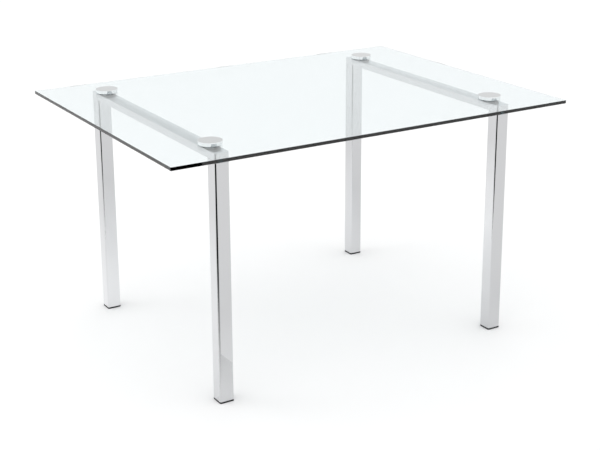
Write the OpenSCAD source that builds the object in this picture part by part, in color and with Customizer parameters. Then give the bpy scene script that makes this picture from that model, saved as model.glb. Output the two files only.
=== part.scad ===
// Glass dining table: one tempered glass pane clamped at four points on two welded chrome leg frames.
// X runs along the table, Y across it, Z up. The origin is on the floor, under the middle of the pane.
// Front is -Y and left is -X.

/* [Table] */
// Length of the glass pane
table_length = 1350; // [1200:10:1600]
// Width of the glass pane
table_width = 1000; // [850:10:1100]
// Height of the glass surface above the floor
table_height = 750; // [720:1:780]
// Thickness of the glass
glass_thickness = 10; // [8:1:12]
// Ground bevel along each edge of the glass
glass_bevel = 0.8; // [0.5:0.1:1.5]
// Width of the dubbed corners of the glass
glass_corner = 2; // [1:0.5:4]

/* [Frames] */
// Distance between the two crossbars' centrelines
frame_spacing = 974; // [900:2:1020]
// Distance between the leg centres of one frame
leg_spacing = 804; // [700:2:820]
// Outside width of the square leg tube
leg_size = 45; // [45:1:50]
// Outside corner radius of the leg tube
leg_radius = 5; // [4:0.5:6]
// Wall of the leg tube and crossbar tube
tube_wall = 1.5; // [1.2:0.1:2]
// Height of the flat crossbar tube
bar_height = 22; // [20:1:25]
// Outside corner radius of the crossbar tube
bar_radius = 2; // [2:0.1:2.5]
// Thickness of the plate that closes each end of a crossbar
end_plate_thickness = 7; // [6.5:0.5:10]

/* [Feet] */
// Height of the foot plug's rim under the tube
foot_rim = 5; // [3:0.5:8]
// Depth of the foot plug inside the tube
foot_depth = 20; // [15:1:30]

/* [Clamps] */
// Distance from the leg centre to the clamp centre along the crossbar
clamp_inset = 45; // [40:1:60]
// Diameter of the clamp cap across its top
cap_diameter = 70; // [64:1:75]
// How much narrower the cap is at the bottom
cap_taper = 2; // [1:0.5:4]
// Height of the clamp cap
cap_height = 10.5; // [10.5:0.5:14]
// Rounding of the cap's top edge
cap_round = 0.8; // [0.5:0.1:2]
// Thickness of the soft gasket between cap and glass
upper_gasket_thickness = 1.5; // [1:0.1:2]
// Diameter of that gasket
upper_gasket_diameter = 60; // [40:1:60]
// Thickness of the soft gasket under the glass
lower_gasket_thickness = 1; // [0.5:0.1:2]
// Height of the spacer between crossbar and lower gasket
spacer_height = 3; // [3:0.5:12]
// Diameter of the spacer
spacer_diameter = 32; // [28:1:44]
// Nominal diameter of the clamp stud
stud_diameter = 10; // [8:1:10]
// Pitch of the stud's thread
stud_pitch = 1.5; // [1.25:0.25:1.5]
// Turns of thread that hold the cap on the stud
cap_turns = 5; // [3:1:5]
// Diameter of the hole in the glass
glass_hole = 20; // [18:1:24]

/* [Hidden] */
$fn = 96;

CORNERS = ["front_left", "front_right", "rear_left", "rear_right"];
SIDES = ["left", "right"];
CORNER_PARTS = ["leg", "end_plate", "foot_plug", "weld_nut", "stud", "spacer", "lower_gasket",
                "glass_sleeve", "upper_gasket", "clamp_cap"];

running_fit = 0.06;      // radial gap between stud and cap
stud_clearance = 0.25;   // radial gap where the stud only passes through
slip_fit = 0.1;          // gap between glass hole and sleeve, and between foot plug and tube
overshoot = 1;           // how far a cutting shape runs past the face it cuts
nut_across_flats = 17;
nut_height = 8;
nut_across_corners = nut_across_flats / cos(30);
stud_below_nut = 2;
stud_radius = stud_diameter / 2;
cap_hole_depth = 8;
gasket_hole = 12;
plug_wall = 2.5;
plug_rib_height = 1.6;
plug_rib_gap = 5;
plug_ribs = 3;
plug_rib_depth = 0.5;

glass_bottom = table_height - glass_thickness;
spacer_bottom = glass_bottom - lower_gasket_thickness - spacer_height;
bar_top = spacer_bottom;
bar_bottom = bar_top - bar_height;
bar_length = leg_spacing + leg_size;
cap_bottom = table_height + upper_gasket_thickness;
nut_top = bar_top - tube_wall;
stud_bottom = nut_top - nut_height - stud_below_nut;
stud_top = cap_bottom + cap_turns * stud_pitch;
clamp_y = leg_spacing / 2 - clamp_inset;

function x_sign(corner) = corner % 2 == 0 ? -1 : 1;
function y_sign(corner) = corner < 2 ? -1 : 1;

// A rectangle with round corners, from squares and circles so that the corners stay true arcs
module rounded_rectangle(width, depth, radius) {
    square([width - 2 * radius, depth], center = true);
    square([width, depth - 2 * radius], center = true);
    for (x = [-1, 1], y = [-1, 1])
        translate([x * (width / 2 - radius), y * (depth / 2 - radius)])
            circle(radius);
}

// A tube of rounded rectangular section that stands on z = 0
module rectangular_tube(width, depth, radius, wall, length) {
    linear_extrude(length)
        difference() {
            rounded_rectangle(width, depth, radius);
            rounded_rectangle(width - 2 * wall, depth - 2 * wall, max(radius - wall, 0.5));
        }
}

// The quarter of a circle that rounds a top outer edge
module quarter_circle(radius) {
    intersection() {
        circle(radius);
        square(radius);
    }
}

// A flat ring that stands on z = 0
module ring(outside, hole, height) {
    difference() {
        cylinder(d = outside, h = height);
        translate([0, 0, -overshoot])
            cylinder(d = hole, h = height + 2 * overshoot);
    }
}

// The cutter that takes a bevel off one long edge running along X at the origin
module bevel_cutter(length, size) {
    rotate([45, 0, 0])
        cube([length, size * sqrt(2), size * sqrt(2)], center = true);
}

// The places of a frame's legs and of a frame's clamps
module at_leg(corner) {
    translate([x_sign(corner) * frame_spacing / 2, y_sign(corner) * leg_spacing / 2, 0])
        children();
}

module at_clamp(corner) {
    translate([x_sign(corner) * frame_spacing / 2, y_sign(corner) * clamp_y, 0])
        children();
}

// The pane: polished edges with a small bevel, dubbed corners, and a hole for each clamp
module glass_top() {
    color("lightcyan", 0.35)
        difference() {
            translate([-table_length / 2, -table_width / 2, glass_bottom])
                cube([table_length, table_width, glass_thickness]);
            for (y = [-1, 1], z = [glass_bottom, table_height])
                translate([0, y * table_width / 2, z])
                    bevel_cutter(table_length + 2 * overshoot, glass_bevel);
            for (x = [-1, 1], z = [glass_bottom, table_height])
                translate([x * table_length / 2, 0, z])
                    rotate([0, 0, 90])
                        bevel_cutter(table_width + 2 * overshoot, glass_bevel);
            for (x = [-1, 1], y = [-1, 1])
                translate([x * table_length / 2, y * table_width / 2, glass_bottom - overshoot])
                    rotate([0, 0, 45])
                        translate([-glass_corner / sqrt(2), -glass_corner / sqrt(2), 0])
                            cube([glass_corner * sqrt(2), glass_corner * sqrt(2),
                                  glass_thickness + 2 * overshoot]);
            for (corner = [0:3])
                at_clamp(corner)
                    translate([0, 0, glass_bottom - overshoot])
                        cylinder(d = glass_hole, h = glass_thickness + 2 * overshoot);
        }
}

// The flat tube across the tops of one frame's two legs, with a hole in its top wall for each stud
module crossbar(side) {
    x = (side == 0 ? -1 : 1) * frame_spacing / 2;
    tube_length = bar_length - 2 * end_plate_thickness;
    color("silver")
        difference() {
            translate([x, tube_length / 2, bar_bottom + bar_height / 2])
                rotate([90, 0, 0])
                    rectangular_tube(leg_size, bar_height, bar_radius, tube_wall, tube_length);
            for (y = [-1, 1])
                translate([x, y * clamp_y, bar_top - 2 * tube_wall])
                    cylinder(r = stud_radius + stud_clearance, h = 3 * tube_wall);
        }
}

// A square leg tube, from the foot plug's rim to the underside of the crossbar
module leg(corner) {
    color("silver")
        at_leg(corner)
            translate([0, 0, foot_rim])
                rectangular_tube(leg_size, leg_size, leg_radius, tube_wall, bar_bottom - foot_rim);
}

// The plate welded over the open end of the crossbar, rounded like the leg's outline below it
module end_plate(corner) {
    plate_front = leg_size / 2 - end_plate_thickness;
    color("silver")
        at_leg(corner)
            translate([0, 0, bar_bottom])
                linear_extrude(bar_height)
                    intersection() {
                        rounded_rectangle(leg_size, leg_size, leg_radius);
                        translate([-leg_size / 2, y_sign(corner) > 0 ? plate_front : -leg_size / 2])
                            square([leg_size, end_plate_thickness]);
                    }
}

// The plastic plug in the foot of a leg: a rim the size of the tube and a ribbed hollow stem
module foot_plug(corner) {
    stem = leg_size - 2 * tube_wall - 2 * (slip_fit + plug_rib_depth);
    stem_radius = leg_radius - tube_wall - plug_rib_depth;
    color("black")
        at_leg(corner) {
            linear_extrude(foot_rim)
                rounded_rectangle(leg_size, leg_size, leg_radius);
            translate([0, 0, foot_rim])
                rectangular_tube(stem, stem, stem_radius, plug_wall, foot_depth);
            for (rib = [1:plug_ribs])
                translate([0, 0, foot_rim + rib * plug_rib_gap])
                    rectangular_tube(stem + 2 * plug_rib_depth, stem + 2 * plug_rib_depth,
                                     stem_radius + plug_rib_depth, plug_wall + plug_rib_depth,
                                     plug_rib_height);
        }
}

// The hexagon nut welded under the crossbar's top wall
module weld_nut(corner) {
    color("gray")
        at_clamp(corner)
            translate([0, 0, nut_top - nut_height])
                difference() {
                    cylinder(d = nut_across_corners, h = nut_height, $fn = 6);
                    translate([0, 0, -overshoot])
                        cylinder(r = stud_radius, h = nut_height + 2 * overshoot);
                }
}

// The stud that the weld nut holds and the cap screws down on
module stud(corner) {
    color("gray")
        at_clamp(corner)
            translate([0, 0, stud_bottom])
                cylinder(r = stud_radius, h = stud_top - stud_bottom);
}

// The plated ring that carries the glass above the crossbar
module spacer(corner) {
    color("silver")
        at_clamp(corner)
            translate([0, 0, spacer_bottom])
                ring(spacer_diameter, stud_diameter + 2 * stud_clearance, spacer_height);
}

// The soft ring between the spacer and the underside of the glass
module lower_gasket(corner) {
    color("dimgray")
        at_clamp(corner)
            translate([0, 0, glass_bottom - lower_gasket_thickness])
                ring(spacer_diameter, gasket_hole, lower_gasket_thickness);
}

// The plastic sleeve that keeps the stud off the wall of the glass hole
module glass_sleeve(corner) {
    color("whitesmoke")
        at_clamp(corner)
            translate([0, 0, glass_bottom])
                ring(glass_hole - 2 * slip_fit, stud_diameter + 2 * stud_clearance, glass_thickness);
}

// The soft ring between the glass and the cap
module upper_gasket(corner) {
    color("dimgray")
        at_clamp(corner)
            translate([0, 0, table_height])
                ring(upper_gasket_diameter, gasket_hole, upper_gasket_thickness);
}

// The round plated cap: it narrows slightly downwards and has a blind threaded hole for the stud
module clamp_cap(corner) {
    top_radius = cap_diameter / 2;
    bottom_radius = top_radius - cap_taper / 2;
    color("silver")
        at_clamp(corner)
            translate([0, 0, cap_bottom])
                rotate_extrude()
                    difference() {
                        union() {
                            polygon([[0, 0], [bottom_radius, 0], [top_radius, cap_height - cap_round],
                                     [top_radius - cap_round, cap_height - cap_round],
                                     [top_radius - cap_round, cap_height], [0, cap_height]]);
                            translate([top_radius - cap_round, cap_height - cap_round])
                                quarter_circle(cap_round);
                        }
                        translate([0, -overshoot])
                            square([stud_radius + running_fit, cap_hole_depth + overshoot]);
                    }
}

glass_top();
for (side = [0:1]) {
    crossbar(side);
}
for (corner = [0:3]) {
    leg(corner);
    end_plate(corner);
    foot_plug(corner);
    weld_nut(corner);
    stud(corner);
    spacer(corner);
    lower_gasket(corner);
    glass_sleeve(corner);
    upper_gasket(corner);
    clamp_cap(corner);
}
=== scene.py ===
"""The looks of the glass dining table: a clear glass pane clamped on two chrome end frames.

Units are metres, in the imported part's own frame: +X along the table, +Y towards the back, +Z up.
"""

import math

import bmesh
import bpy
from mathutils import Matrix, Vector


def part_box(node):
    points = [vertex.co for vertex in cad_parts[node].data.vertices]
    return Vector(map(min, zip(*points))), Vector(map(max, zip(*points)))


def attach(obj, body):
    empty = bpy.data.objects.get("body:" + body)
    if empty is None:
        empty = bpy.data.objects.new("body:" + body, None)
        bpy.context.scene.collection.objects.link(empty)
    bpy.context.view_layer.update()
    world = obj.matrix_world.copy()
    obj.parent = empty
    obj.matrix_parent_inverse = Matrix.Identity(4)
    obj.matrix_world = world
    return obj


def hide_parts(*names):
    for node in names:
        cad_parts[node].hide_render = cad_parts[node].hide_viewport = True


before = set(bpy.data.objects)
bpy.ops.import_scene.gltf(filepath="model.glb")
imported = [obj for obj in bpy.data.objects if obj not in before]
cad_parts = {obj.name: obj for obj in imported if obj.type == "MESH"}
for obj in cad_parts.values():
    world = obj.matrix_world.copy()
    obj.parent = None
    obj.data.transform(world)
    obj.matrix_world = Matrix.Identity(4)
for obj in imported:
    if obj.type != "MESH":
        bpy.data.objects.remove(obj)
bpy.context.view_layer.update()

CORNERS = ("front_left", "front_right", "rear_left", "rear_right")
SIDES = ("left", "right")
TABLE = "table"

# Camera: the photographer stands in front, to the left
CAMERA_PLACE = Vector((-2.013, -3.355, 1.701))
CAMERA_YAW = math.radians(31.15)
CAMERA_PITCH = math.radians(-16.78)
CAMERA_ROLL = math.radians(-0.26)
CAMERA_LENS_MM = 76.7
CAMERA_SHIFT = -0.1

# Studio. The cards lie just above the floor, and only mirrored rays see them. The dark card was shaped
# so that the legs' front corners mirror it from the photograph's camera, but their right sides do not.
FLOOR_RADIUS = 30.0
HORIZON_LIGHT = 1.05
OVERHEAD_LIGHT = 1.20
KEY_PLACE = Vector((-2.6, 1.5, 2.3))
KEY_AIM = Vector((0.0, 0.0, 0.0))
KEY_SIZE = 1.6
KEY_POWER = 9.0
CARD_HEIGHT = 0.004
GLOW_PLACE = Vector((-0.25, 0.30, CARD_HEIGHT + 0.002))
GLOW_SIDES = 48
GLOW_RADIUS = 1.3
GLOW_LIGHT = 0.45
DARK_START = 0.6
DARK_FULL = 1.55

# Specular level of the plastic and rubber pieces
PLASTIC_GLOSS = 0.18

# Sizes of the small detail, in metres
BAR_CORNER = 0.005
BAR_TOP_EDGE = 0.002
BAR_LOWER_EDGE = 0.0006
FOOT_EDGE = 0.0012
CAP_FACE = 0.0004
THREAD_PITCH = 0.0015
THREAD_DEPTH = 0.0009


# ---------------------------------------------------------------- node helpers


def new_material(name):
    """A material with one Principled shader, and its node tree."""
    material = bpy.data.materials.new(name)
    material.use_nodes = True
    tree = material.node_tree
    return material, tree, tree.nodes["Principled BSDF"]


def object_coordinates(tree, scale=(1.0, 1.0, 1.0)):
    """Coordinates in metres on the object, stretched by scale."""
    place = tree.nodes.new("ShaderNodeTexCoord")
    mapping = tree.nodes.new("ShaderNodeMapping")
    mapping.inputs["Scale"].default_value = scale
    tree.links.new(place.outputs["Object"], mapping.inputs["Vector"])
    return mapping.outputs["Vector"]


def noise(tree, vector, scale, detail=3.0, roughness=0.5):
    """A noise texture's value, from 0 to 1."""
    texture = tree.nodes.new("ShaderNodeTexNoise")
    texture.inputs["Scale"].default_value = scale
    texture.inputs["Detail"].default_value = detail
    texture.inputs["Roughness"].default_value = roughness
    tree.links.new(vector, texture.inputs["Vector"])
    return texture.outputs["Fac"]


def spread(tree, value, low, high, from_low=0.3, from_high=0.7):
    """Maps a texture's middle values onto the range low to high."""
    mapped = tree.nodes.new("ShaderNodeMapRange")
    mapped.inputs["From Min"].default_value = from_low
    mapped.inputs["From Max"].default_value = from_high
    mapped.inputs["To Min"].default_value = low
    mapped.inputs["To Max"].default_value = high
    tree.links.new(value, mapped.inputs["Value"])
    return mapped.outputs["Result"]


def tint(tree, value, dark, light):
    """A colour between dark and light, chosen by a value from 0 to 1."""
    ramp = tree.nodes.new("ShaderNodeValToRGB")
    ramp.color_ramp.elements[0].color = (*dark, 1.0)
    ramp.color_ramp.elements[1].color = (*light, 1.0)
    tree.links.new(value, ramp.inputs["Fac"])
    return ramp.outputs["Color"]


def bump(tree, height, depth, strength=1.0):
    """The normal of a surface whose height, from 0 to 1, is depth metres deep."""
    node = tree.nodes.new("ShaderNodeBump")
    node.inputs["Strength"].default_value = strength
    node.inputs["Distance"].default_value = depth
    tree.links.new(height, node.inputs["Height"])
    return node.outputs["Normal"]


# ---------------------------------------------------------------- materials


def chrome_material():
    """Bright chrome plate: long, very shallow waves from the tube mill, polishing marks, faint haze."""
    material, tree, shader = new_material("polished_chrome")
    shader.inputs["Metallic"].default_value = 1.0
    along = object_coordinates(tree, (1.0, 1.0, 0.25))
    haze = noise(tree, along, 14.0, 4.0)
    marks = noise(tree, object_coordinates(tree, (1.0, 1.0, 0.04)), 900.0, 2.0)
    colour = tint(tree, haze, (0.565, 0.568, 0.580), (0.595, 0.598, 0.606))
    tree.links.new(colour, shader.inputs["Base Color"])
    tree.links.new(spread(tree, marks, 0.020, 0.055), shader.inputs["Roughness"])
    waves = noise(tree, along, 5.0, 1.0)
    tree.links.new(bump(tree, waves, 0.0002), shader.inputs["Normal"])
    return material


def cap_material(top):
    """The caps: sides with a painted highlight, brighter than chrome, and a top face, which is at height
    top, with painted shade, darker than the sides.
    """
    material, tree, shader = new_material("cap_chrome_painted_light")
    shader.inputs["Metallic"].default_value = 1.0
    place = object_coordinates(tree)
    axes = tree.nodes.new("ShaderNodeSeparateXYZ")
    tree.links.new(place, axes.inputs["Vector"])
    on_top = spread(tree, axes.outputs["Z"], 0.0, 1.0, top - CAP_FACE, top)
    cloud = noise(tree, place, 90.0, 4.0)
    # Painted highlight on the sides and painted shade on the top face: one chrome, its colour made
    # brighter or darker to copy how the light falls.
    painted_highlight_sides = tint(tree, cloud, (0.84, 0.85, 0.86), (0.88, 0.89, 0.89))
    painted_shade_top_chrome = tint(tree, cloud, (0.500, 0.512, 0.517), (0.535, 0.546, 0.550))
    mix = tree.nodes.new("ShaderNodeMix")
    mix.data_type = "RGBA"
    tree.links.new(on_top, mix.inputs["Factor"])
    tree.links.new(painted_highlight_sides, mix.inputs["A"])
    tree.links.new(painted_shade_top_chrome, mix.inputs["B"])
    tree.links.new(mix.outputs["Result"], shader.inputs["Base Color"])
    lines = noise(tree, place, 1400.0, 2.0)
    tree.links.new(spread(tree, lines, 0.020, 0.060), shader.inputs["Roughness"])
    return material


def glass_material():
    """Clear tempered float glass: a green-blue body colour, faint roller wave and a trace of dust."""
    material, tree, shader = new_material("clear_glass")
    shader.inputs["Transmission Weight"].default_value = 1.0
    shader.inputs["IOR"].default_value = 1.52
    shader.inputs["Base Color"].default_value = (1.0, 1.0, 1.0, 1.0)
    dust = noise(tree, object_coordinates(tree), 60.0, 5.0, 0.7)
    tree.links.new(spread(tree, dust, 0.0, 0.012, 0.55, 0.85), shader.inputs["Roughness"])
    wave = noise(tree, object_coordinates(tree, (1.0, 0.3, 1.0)), 4.0, 0.0)
    tree.links.new(bump(tree, wave, 0.0001), shader.inputs["Normal"])
    absorb = tree.nodes.new("ShaderNodeVolumeAbsorption")
    absorb.inputs["Color"].default_value = (0.0, 0.31, 0.38, 1.0)
    absorb.inputs["Density"].default_value = 12.5
    output = tree.nodes["Material Output"]
    tree.links.new(absorb.outputs["Volume"], output.inputs["Volume"])
    let_lamps_through(tree, shader, output)
    return material


def let_lamps_through(tree, shader, output):
    """Lamps shine straight through the glass, slightly dimmed, so that it casts only a faint shadow."""
    rays = tree.nodes.new("ShaderNodeLightPath")
    clear = tree.nodes.new("ShaderNodeBsdfTransparent")
    clear.inputs["Color"].default_value = (0.955, 0.975, 0.97, 1.0)
    mix = tree.nodes.new("ShaderNodeMixShader")
    tree.links.new(rays.outputs["Is Shadow Ray"], mix.inputs["Fac"])
    tree.links.new(shader.outputs["BSDF"], mix.inputs[1])
    tree.links.new(clear.outputs["BSDF"], mix.inputs[2])
    tree.links.new(mix.outputs["Shader"], output.inputs["Surface"])


def plastic_material(name, dark, light, rough_low, rough_high, grain=900.0):
    """Moulded plastic or soft rubber with a fine spark-eroded grain."""
    material, tree, shader = new_material(name)
    place = object_coordinates(tree)
    tree.links.new(tint(tree, noise(tree, place, 35.0), dark, light), shader.inputs["Base Color"])
    fine = noise(tree, place, grain, 2.0)
    tree.links.new(spread(tree, fine, rough_low, rough_high), shader.inputs["Roughness"])
    tree.links.new(bump(tree, fine, 0.00006), shader.inputs["Normal"])
    shader.inputs["Specular IOR Level"].default_value = PLASTIC_GLOSS
    return material


def zinc_material():
    """Bright zinc plate on the studs and nuts: a little blue and yellow, softly grained."""
    material, tree, shader = new_material("zinc_plated_steel")
    shader.inputs["Metallic"].default_value = 1.0
    place = object_coordinates(tree)
    colour = tint(tree, noise(tree, place, 120.0, 4.0), (0.52, 0.54, 0.57), (0.66, 0.65, 0.60))
    tree.links.new(colour, shader.inputs["Base Color"])
    grain = noise(tree, place, 1500.0, 2.0)
    tree.links.new(spread(tree, grain, 0.22, 0.38), shader.inputs["Roughness"])
    tree.links.new(bump(tree, grain, 0.00003), shader.inputs["Normal"])
    return material


def floor_material():
    """A seamless, quite matt white studio floor."""
    material, tree, shader = new_material("studio_floor")
    place = object_coordinates(tree)
    colour = tint(tree, noise(tree, place, 1.5), (0.935, 0.935, 0.935), (0.945, 0.945, 0.945))
    tree.links.new(colour, shader.inputs["Base Color"])
    grain = noise(tree, place, 260.0, 2.0)
    tree.links.new(spread(tree, grain, 0.75, 0.95), shader.inputs["Roughness"])
    shader.inputs["Specular IOR Level"].default_value = 0.0
    return material


def along_y(tree, place):
    """The Y coordinate of a place."""
    axes = tree.nodes.new("ShaderNodeSeparateXYZ")
    tree.links.new(place, axes.inputs["Vector"])
    return axes.outputs["Y"]


def distance(tree, place):
    """How far a place is from the object's origin."""
    length = tree.nodes.new("ShaderNodeVectorMath")
    length.operation = "LENGTH"
    tree.links.new(place, length.inputs[0])
    return length.outputs["Value"]


def bare_material(name):
    """A material without the Principled shader: its tree, a Transparent shader and the output."""
    material, tree, principled = new_material(name)
    tree.nodes.remove(principled)
    return material, tree, tree.nodes.new("ShaderNodeBsdfTransparent"), tree.nodes["Material Output"]


def dark_card_material():
    """A painted dark reflection: a black sheet that fades in away from the table, along the object's own
    Y axis.
    """
    material, tree, clear, output = bare_material("painted_dark_reflection")
    share = spread(tree, along_y(tree, object_coordinates(tree)), 0.0, 1.0, DARK_START, DARK_FULL)
    # Painted reflection: a black sheet that only mirrored rays see, so that the chrome mirrors darkness
    # there.
    dark_sheet = tree.nodes.new("ShaderNodeBsdfDiffuse")
    dark_sheet.inputs["Color"].default_value = (0.01, 0.01, 0.01, 1.0)
    mix = tree.nodes.new("ShaderNodeMixShader")
    tree.links.new(share, mix.inputs["Fac"])
    tree.links.new(clear.outputs["BSDF"], mix.inputs[1])
    tree.links.new(dark_sheet.outputs["BSDF"], mix.inputs[2])
    tree.links.new(mix.outputs["Shader"], output.inputs["Surface"])
    return material


def glow_card_material():
    """The pool of light in the middle of the floor, which fades out with distance."""
    material, tree, clear, output = bare_material("floor_glow")
    share = spread(tree, distance(tree, object_coordinates(tree)), 0.0, 1.0, GLOW_RADIUS, 0.0)
    strength = tree.nodes.new("ShaderNodeMath")
    strength.operation = "MULTIPLY"
    strength.inputs[1].default_value = GLOW_LIGHT
    tree.links.new(share, strength.inputs[0])
    light = tree.nodes.new("ShaderNodeEmission")
    tree.links.new(strength.outputs["Value"], light.inputs["Strength"])
    add = tree.nodes.new("ShaderNodeAddShader")
    tree.links.new(clear.outputs["BSDF"], add.inputs[0])
    tree.links.new(light.outputs["Emission"], add.inputs[1])
    tree.links.new(add.outputs["Shader"], output.inputs["Surface"])
    return material


def dress(node_name, material):
    """Gives a CAD node its finished material."""
    for material_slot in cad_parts[node_name].material_slots:
        material_slot.material = material


# ---------------------------------------------------------------- mesh helpers


def mesh_object(name, builder):
    """A new object from a bmesh, shaded smooth."""
    mesh = bpy.data.meshes.new(name)
    for face in builder.faces:
        face.smooth = True
    builder.to_mesh(mesh)
    builder.free()
    made = bpy.data.objects.new(name, mesh)
    bpy.context.scene.collection.objects.link(made)
    return made


def finish_piece(piece, material, replaced):
    """Gives a piece its material and body, and hides the CAD nodes that it stands for."""
    piece.data.materials.append(material)
    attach(piece, TABLE)
    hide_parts(*replaced)


def bevel_edges(builder, chosen, width, segments):
    """Rounds the edges of a bmesh for which chosen(edge) is true."""
    edges = [edge for edge in builder.edges if chosen(edge)]
    bmesh.ops.bevel(builder, geom=edges, offset=width, segments=segments, profile=0.5,
                    affect="EDGES", clamp_overlap=True)


def plated_bar(name, low, high):
    """A closed flat bar: its ends are rounded in plan like the legs, and its long edges are soft."""
    builder = bmesh.new()
    bmesh.ops.create_cube(builder, size=1.0)
    place = Matrix.Translation((low + high) / 2) @ Matrix.Diagonal((*(high - low), 1.0))
    bmesh.ops.transform(builder, matrix=place, verts=builder.verts)
    near = 1e-6

    def upright(edge):
        first, second = (corner.co for corner in edge.verts)
        return abs(first.z - second.z) > near

    def level_at(z):
        return lambda edge: all(abs(corner.co.z - z) < near for corner in edge.verts)

    bevel_edges(builder, upright, BAR_CORNER, 10)
    bevel_edges(builder, level_at(high.z), BAR_TOP_EDGE, 6)
    bevel_edges(builder, level_at(low.z), BAR_LOWER_EDGE, 3)
    made = mesh_object(name, builder)
    keep_flats_flat(made)
    return made


def keep_flats_flat(piece):
    """Weights the normals by face area, so that rounded edges shade smoothly into flat sides."""
    weighted = piece.modifiers.new("weighted_normals", "WEIGHTED_NORMAL")
    weighted.keep_sharp = True
    weighted.weight = 100


def soften_edges(node_name, width):
    """Rounds the sharp edges of a CAD node, as moulding or polishing leaves them."""
    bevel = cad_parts[node_name].modifiers.new("soft_edges", "BEVEL")
    bevel.width = width
    bevel.segments = 3
    bevel.limit_method = "ANGLE"
    bevel.angle_limit = math.radians(50)
    bevel.harden_normals = True


def threaded_rod(name, low, high, pitch, depth):
    """A stud with a real helical thread and a chamfered tip, inside the box from low to high."""
    sides = 40
    steps = 8
    centre = (low + high) / 2
    radius = (high.x - low.x) / 2
    length = high.z - low.z
    rings = int(length / pitch * steps)
    chamfer = depth * 1.2
    builder = bmesh.new()
    rows = []
    for ring in range(rings + 1):
        z = low.z + length * ring / rings
        row = []
        for side in range(sides):
            angle = 2 * math.pi * side / sides
            phase = ((z - low.z) / pitch - side / sides) % 1.0
            groove = depth * (1 - abs(2 * phase - 1))
            tip = max(0.0, chamfer - min(high.z - z, z - low.z))
            r = radius - max(groove, tip)
            x = centre.x + r * math.cos(angle)
            y = centre.y + r * math.sin(angle)
            row.append(builder.verts.new((x, y, z)))
        rows.append(row)
    for lower, upper in zip(rows, rows[1:]):
        for side in range(sides):
            after = (side + 1) % sides
            builder.faces.new((lower[side], lower[after], upper[after], upper[side]))
    builder.faces.new(list(reversed(rows[0])))
    builder.faces.new(rows[-1])
    return mesh_object(name, builder)


# ---------------------------------------------------------------- the table


def make_crossbars(chrome):
    """Each crossbar is ground flush with its end plates and plated in one go, so it shows no seam."""
    for side in SIDES:
        low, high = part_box(f"{side}_crossbar")
        plates = [f"front_{side}_end_plate", f"rear_{side}_end_plate"]
        low.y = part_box(plates[0])[0].y
        high.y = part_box(plates[1])[1].y
        bar = plated_bar(f"{side}_bar_skin", low, high)
        finish_piece(bar, chrome, [f"{side}_crossbar", *plates])


def make_studs(zinc):
    """The studs show their threads where the caps are unscrewed."""
    for corner in CORNERS:
        low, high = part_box(f"{corner}_stud")
        rod = threaded_rod(f"{corner}_threaded_rod", low, high, THREAD_PITCH, THREAD_DEPTH)
        finish_piece(rod, zinc, [f"{corner}_stud"])


def dress_table():
    """Every CAD node that stays gets its material."""
    chrome = chrome_material()
    # The caps' chrome has painted shade on the top face and a painted highlight on the sides.
    painted_shade_top_chrome = cap_material(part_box("front_left_clamp_cap")[1].z)
    zinc = zinc_material()
    black = plastic_material("black_plastic", (0.005, 0.005, 0.006), (0.011, 0.011, 0.012), 0.45, 0.60)
    gasket = plastic_material("soft_gasket", (0.60, 0.62, 0.62), (0.68, 0.70, 0.70), 0.55, 0.75, 500.0)
    nylon = plastic_material("nylon_sleeve", (0.70, 0.73, 0.72), (0.78, 0.81, 0.80), 0.30, 0.45)
    dress("glass_top", glass_material())
    for corner in CORNERS:
        dress(f"{corner}_leg", chrome)
        dress(f"{corner}_spacer", chrome)
        dress(f"{corner}_clamp_cap", painted_shade_top_chrome)
        dress(f"{corner}_foot_plug", black)
        dress(f"{corner}_weld_nut", zinc)
        dress(f"{corner}_upper_gasket", gasket)
        dress(f"{corner}_lower_gasket", gasket)
        dress(f"{corner}_glass_sleeve", nylon)
        soften_edges(f"{corner}_foot_plug", FOOT_EDGE)
    make_crossbars(chrome)
    make_studs(zinc)


# ---------------------------------------------------------------- the studio


def make_floor():
    """A large round floor that the camera never sees the end of."""
    builder = bmesh.new()
    bmesh.ops.create_circle(builder, cap_ends=True, radius=FLOOR_RADIUS, segments=96)
    floor = mesh_object("studio_floor", builder)
    floor.data.materials.append(floor_material())


def make_backdrop():
    """White light from all round, brightest overhead."""
    world = bpy.data.worlds.new("white_studio")
    world.use_nodes = True
    tree = world.node_tree
    background = tree.nodes["Background"]
    background.inputs["Color"].default_value = (1.0, 1.0, 1.0, 1.0)
    direction = tree.nodes.new("ShaderNodeTexCoord")
    axes = tree.nodes.new("ShaderNodeSeparateXYZ")
    tree.links.new(direction.outputs["Generated"], axes.inputs["Vector"])
    light = spread(tree, axes.outputs["Z"], HORIZON_LIGHT, OVERHEAD_LIGHT, 0.3, 0.9)
    tree.links.new(light, background.inputs["Strength"])
    bpy.context.scene.world = world


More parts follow.
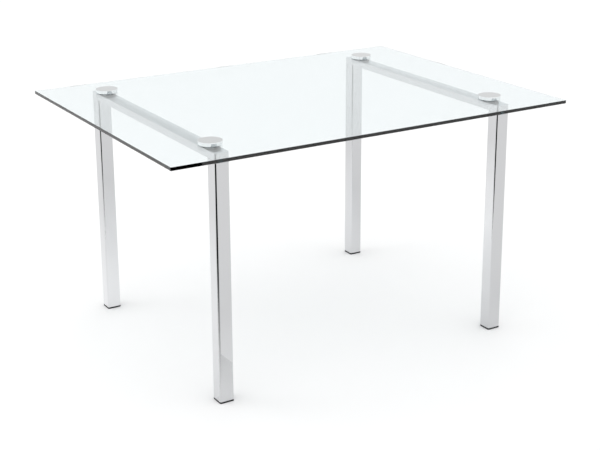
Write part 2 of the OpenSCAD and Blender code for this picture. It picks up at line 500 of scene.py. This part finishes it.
def make_key_light():
    """A soft box to the left, behind the table, which gives each foot its faint shadow."""
    data = bpy.data.lights.new("key_light", "AREA")
    data.shape = "SQUARE"
    data.size = KEY_SIZE
    data.energy = KEY_POWER
    light = bpy.data.objects.new("key_light", data)
    light.location = KEY_PLACE
    light.rotation_euler = (KEY_AIM - KEY_PLACE).to_track_quat("-Z", "Y").to_euler()
    light.visible_glossy = False
    light.visible_transmission = False
    bpy.context.scene.collection.objects.link(light)


def make_card(name, outline, material, place, turn):
    """A flat studio card that only mirrored rays see."""
    builder = bmesh.new()
    builder.faces.new([builder.verts.new((x, y, 0.0)) for x, y in outline])
    card = mesh_object(name, builder)
    card.location = place
    card.rotation_euler.z = turn
    card.data.materials.append(material)
    card.visible_camera = False
    card.visible_diffuse = False
    card.visible_shadow = False
    card.visible_transmission = False


def make_cards():
    """The dark end of the studio on the camera's side, and the pool of light under the table."""
    towards_camera = math.pi - CAMERA_YAW
    dark_outline = [(1.00, DARK_START), (1.45, 1.4), (1.80, 2.4), (1.80, 4.5), (-2.20, 4.5),
                    (-2.20, 2.30), (-1.32, 1.68), (-0.65, 1.28), (-0.16, 0.96), (0.05, DARK_START)]
    make_card("dark_card", dark_outline, dark_card_material(), Vector((0.0, 0.0, CARD_HEIGHT)),
              towards_camera)
    turns = [2 * math.pi * step / GLOW_SIDES for step in range(GLOW_SIDES)]
    glow_outline = [(GLOW_RADIUS * math.cos(turn), GLOW_RADIUS * math.sin(turn)) for turn in turns]
    make_card("glow_card", glow_outline, glow_card_material(), GLOW_PLACE, 0.0)


def make_camera():
    """The camera at the photograph's viewing angle."""
    data = bpy.data.cameras.new("camera")
    data.lens = CAMERA_LENS_MM
    data.shift_y = CAMERA_SHIFT
    camera = bpy.data.objects.new("camera", data)
    camera.location = CAMERA_PLACE
    turn = Matrix.Rotation(-CAMERA_YAW, 4, "Z")
    tilt = Matrix.Rotation(math.radians(90) + CAMERA_PITCH, 4, "X")
    roll = Matrix.Rotation(CAMERA_ROLL, 4, "Z")
    camera.rotation_euler = (turn @ tilt @ roll).to_euler()
    bpy.context.scene.collection.objects.link(camera)
    bpy.context.scene.camera = camera


def set_film():
    """Plain display colours, so that white stays white."""
    settings = bpy.context.scene.view_settings
    settings.view_transform = "Standard"
    settings.look = "None"
    settings.exposure = 0.0


make_camera()
set_film()
make_backdrop()
make_floor()
make_key_light()
make_cards()
dress_table()
